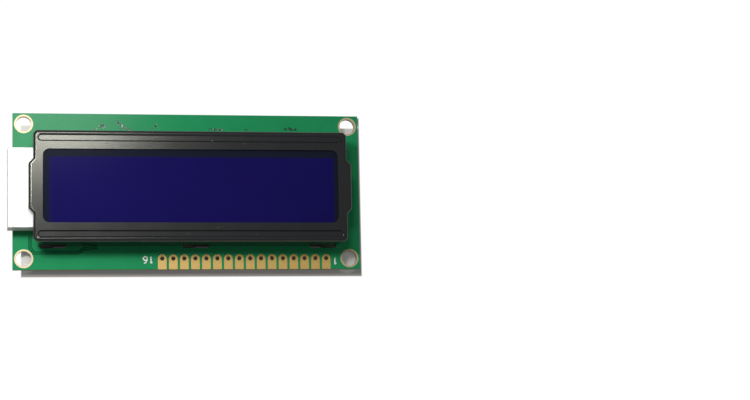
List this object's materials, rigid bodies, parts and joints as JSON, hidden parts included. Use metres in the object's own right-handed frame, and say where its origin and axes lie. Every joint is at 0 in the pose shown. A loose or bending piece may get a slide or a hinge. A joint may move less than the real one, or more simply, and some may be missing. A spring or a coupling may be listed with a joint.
{
  "type": "character display module",
  "caption": "Flat two-line character display: circuit board with a black folded bezel round a blue window, edge backlight and a row of plated header pads.",
  "frame": {"origin": "centre of the four mounting holes, on the front face of the circuit board", "axes": "+X along the board towards header pad 1, +Y towards the long edge without the header, +Z out of the display towards the reader"},
  "size_m": [0.0812, 0.036, 0.0131],
  "materials": {
    "solder_mask": "green solder mask over glass-fibre laminate, satin",
    "gold_foil": "thin gold over copper, satin",
    "solder": "reflowed solder, bright",
    "bezel_paint": "black stoved paint, fine satin grain",
    "blue_polarizer": "dark blue film, glossy",
    "glass": "clear float glass",
    "seal_resin": "cured resin",
    "elastomer": "layered silicone",
    "white_plastic": "white moulded plastic and film",
    "acrylic": "clear acrylic",
    "black_resin": "black cured resin, fine matt grain",
    "ceramic": "resistor ceramic with dark film",
    "capacitor_ceramic": "tan ceramic",
    "end_cap": "tinned end caps"
  },
  "bodies": {
    "root": {"backlight_housing": "white_plastic", "backlight_lead_anode": "solder", "backlight_lead_cathode": "solder", "backlight_pads": "gold_foil", "bezel": "bezel_paint", "capacitor_1": "capacitor_ceramic", "capacitor_2": "capacitor_ceramic", "capacitor_caps_1": "end_cap", "capacitor_caps_2": "end_cap", "cell_seal": "seal_resin", "circuit_board": "solder_mask", "component_lands": "gold_foil", "component_solder": "solder", "contact_lands": "gold_foil", "controller_blob": "black_resin", "diffuser_sheet": "white_plastic", "driver_blob": "black_resin", "fill_port_plug": "seal_resin", "front_glass": "glass", "front_polarizer": "blue_polarizer", "ground_lands": "gold_foil", "header_pads": "gold_foil", "jumper_lands": "gold_foil", "jumper_solder": "solder", "lead_solder_anode": "solder", "lead_solder_cathode": "solder", "led_carrier": "white_plastic", "led_chip_1": "white_plastic", "led_chip_2": "white_plastic", "led_chip_3": "white_plastic", "light_guide": "acrylic", "liquid_crystal": "blue_polarizer", "mounting_rings": "gold_foil", "rear_glass": "glass", "rear_polarizer": "blue_polarizer", "reflector_sheet": "white_plastic", "resistor_1": "ceramic", "resistor_2": "ceramic", "resistor_3": "ceramic", "resistor_4": "ceramic", "resistor_5": "ceramic", "resistor_6": "ceramic", "resistor_7": "ceramic", "resistor_8": "ceramic", "resistor_caps_1": "end_cap", "resistor_caps_2": "end_cap", "resistor_caps_3": "end_cap", "resistor_caps_4": "end_cap", "resistor_caps_5": "end_cap", "resistor_caps_6": "end_cap", "resistor_caps_7": "end_cap", "resistor_caps_8": "end_cap", "zebra_strip_lower": "elastomer", "zebra_strip_upper": "elastomer"}
  },
  "joints": []
}
